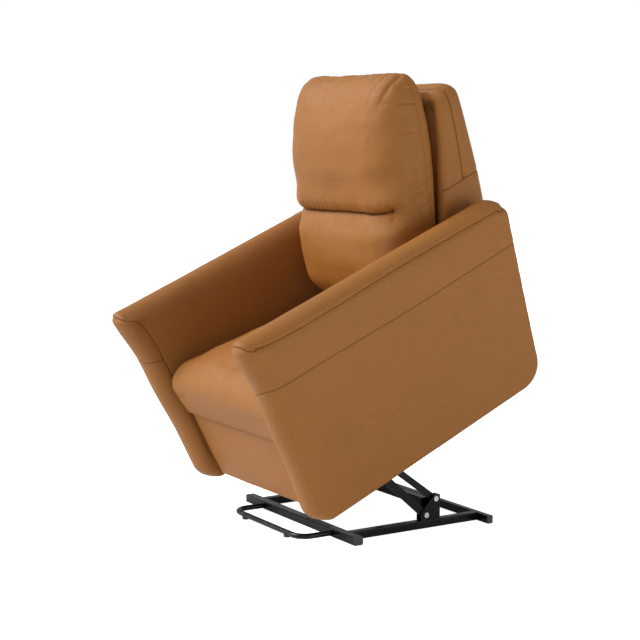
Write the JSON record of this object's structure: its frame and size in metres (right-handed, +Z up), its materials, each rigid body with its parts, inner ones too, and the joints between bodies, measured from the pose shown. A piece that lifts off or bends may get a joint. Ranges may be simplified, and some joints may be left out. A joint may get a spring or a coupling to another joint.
{
  "type": "lift recliner chair",
  "caption": "Upholstered armchair on a steel base whose linkage raises and tips it forward; its back reclines as the footrest opens.",
  "frame": {"origin": "on the floor under the centre line of the front floor tube, midway between its ends; the parts are drawn in the lifted pose, which is joint value 0", "axes": "+X to the sitter's left, -Y the way the sitter faces, +Z up"},
  "size_m": [0.8422, 1.0068, 1.3019],
  "materials": {
    "upholstery": "soft leather, satin",
    "steel_frame": "semi-gloss black paint",
    "bolts": "zinc plated",
    "spring_steel": "oiled spring wire",
    "wooden_frame": "unfinished plywood",
    "drive_housing": "matte black",
    "piston_rod": "polished",
    "foot_rubber": "matte",
    "plastic_caps": "matte black"
  },
  "bodies": {
    "base": {"front_cross_tube": "steel_frame", "rear_cross_tube": "steel_frame", "side_rail_left": "steel_frame", "side_rail_right": "steel_frame", "tube_end_caps": "plastic_caps", "anti_tip_bar": "steel_frame", "bar_feet": "foot_rubber", "pivot_bracket_left": "steel_frame", "pivot_bracket_right": "steel_frame", "bracket_cross_tube": "steel_frame", "base_pivot_bolts": "bolts", "lift_clevis_pin": "bolts"},
    "lower_links": {"lower_link_left": "steel_frame", "lower_link_right": "steel_frame"},
    "upper_links": {"upper_link_left": "steel_frame", "upper_link_right": "steel_frame"},
    "chair": {"mechanism_plate_left": "steel_frame", "mechanism_plate_right": "steel_frame", "seat_rail_left": "steel_frame", "seat_rail_right": "steel_frame", "chair_pivot_bolts": "bolts", "lift_cross_tube": "steel_frame", "recline_cross_tube": "steel_frame", "seat_side_board_left": "wooden_frame", "seat_side_board_right": "wooden_frame", "seat_front_board": "wooden_frame", "seat_rear_board": "wooden_frame", "seat_springs": "spring_steel", "control_box": "drive_housing", "arm_left": "upholstery", "arm_right": "upholstery", "seat_cushion": "upholstery", "back_hinge_left": "steel_frame", "back_hinge_right": "steel_frame", "footrest_mount_left": "steel_frame", "footrest_mount_right": "steel_frame"},
    "back": {"back_hinge_tube": "steel_frame", "back_post_left": "wooden_frame", "back_post_right": "wooden_frame", "back_frame": "wooden_frame", "back_springs": "spring_steel", "back_shell": "upholstery", "back_cushion": "upholstery"},
    "footrest_rear_links": {"footrest_torque_tube": "steel_frame", "footrest_rear_link_left": "steel_frame", "footrest_rear_link_right": "steel_frame", "footrest_knee_pins": "bolts"},
    "footrest_front_links": {"footrest_front_link_left": "steel_frame", "footrest_front_link_right": "steel_frame"},
    "footrest": {"footrest_bracket": "steel_frame", "footrest_board": "upholstery"},
    "lift_actuator_body": {"lift_motor": "drive_housing", "lift_actuator_tube": "drive_housing"},
    "lift_rod": {"lift_actuator_rod": "piston_rod"},
    "recline_actuator_body": {"recline_motor": "drive_housing", "recline_actuator_tube": "drive_housing"},
    "recline_rod": {"recline_actuator_rod": "piston_rod"}
  },
  "joints": [
    {"name": "lift", "type": "hinge", "parent": "base", "child": "lower_links", "pos_m": [0, 0.271, 0.04], "axis": [1, 0, 0], "range_deg": [0, 37.5]},
    {"name": "chair_tilt", "type": "hinge", "parent": "lower_links", "child": "chair", "pos_m": [0, 0.07011, 0.21587], "axis": [1, 0, 0], "range_deg": [-62.01, 0]},
    {"name": "upper_link_turn", "type": "hinge", "parent": "base", "child": "upper_links", "pos_m": [0, 0.305, 0.085], "axis": [1, 0, 0], "range_deg": [0, 37.3]},
    {"name": "lift_actuator_swing", "type": "hinge", "parent": "chair", "child": "lift_actuator_body", "pos_m": [0, 0.04311, 0.23518], "axis": [1, 0, 0], "range_deg": [0, 56.8]},
    {"name": "lift_rod_slide", "type": "slide", "parent": "lift_actuator_body", "child": "lift_rod", "axis": [0, 0.941, -0.3384], "range_m": [0, 0.0497]},
    {"name": "recline", "type": "hinge", "parent": "chair", "child": "back", "pos_m": [0, 0.31091, 0.58801], "axis": [-1, 0, 0], "range_deg": [0, 38]},
    {"name": "recline_actuator_swing", "type": "hinge", "parent": "chair", "child": "recline_actuator_body", "pos_m": [0.05, 0.0655, 0.35968], "axis": [1, 0, 0], "range_deg": [0, 0.51]},
    {"name": "recline_rod_slide", "type": "slide", "parent": "recline_actuator_body", "child": "recline_rod", "axis": [0, 0.8557, 0.5175], "range_m": [-0.0454, 0]},
    {"name": "footrest_rear_turn", "type": "hinge", "parent": "chair", "child": "footrest_rear_links", "pos_m": [0, -0.08982, 0.33395], "axis": [-1, 0, 0], "range_deg": [0, 85.6]},
    {"name": "footrest_knee_turn", "type": "hinge", "parent": "footrest_rear_links", "child": "footrest_front_links", "pos_m": [0, 0.00471, 0.19896], "axis": [1, 0, 0], "range_deg": [0, 122.2]},
    {"name": "footrest_board_turn", "type": "hinge", "parent": "footrest_front_links", "child": "footrest", "pos_m": [0, -0.14992, 0.2681], "axis": [-1, 0, 0], "range_deg": [0, 121.7]}
  ],
  "couplings": [
    {"joint": "chair_tilt", "follows": "lift", "ratio": -1.6533},
    {"joint": "upper_link_turn", "follows": "lift", "ratio": 0.9935},
    {"joint": "lift_actuator_swing", "follows": "lift", "ratio": 1.5142},
    {"joint": "lift_rod_slide", "follows": "lift", "m_per_rad": 0.075706},
    {"joint": "recline_actuator_swing", "follows": "recline", "ratio": 0.01316},
    {"joint": "recline_rod_slide", "follows": "recline", "m_per_rad": -0.068189},
    {"joint": "footrest_rear_turn", "follows": "recline", "ratio": 2.25},
    {"joint": "footrest_knee_turn", "follows": "recline", "ratio": 3.2132},
    {"joint": "footrest_board_turn", "follows": "recline", "ratio": 3.2}
  ]
}
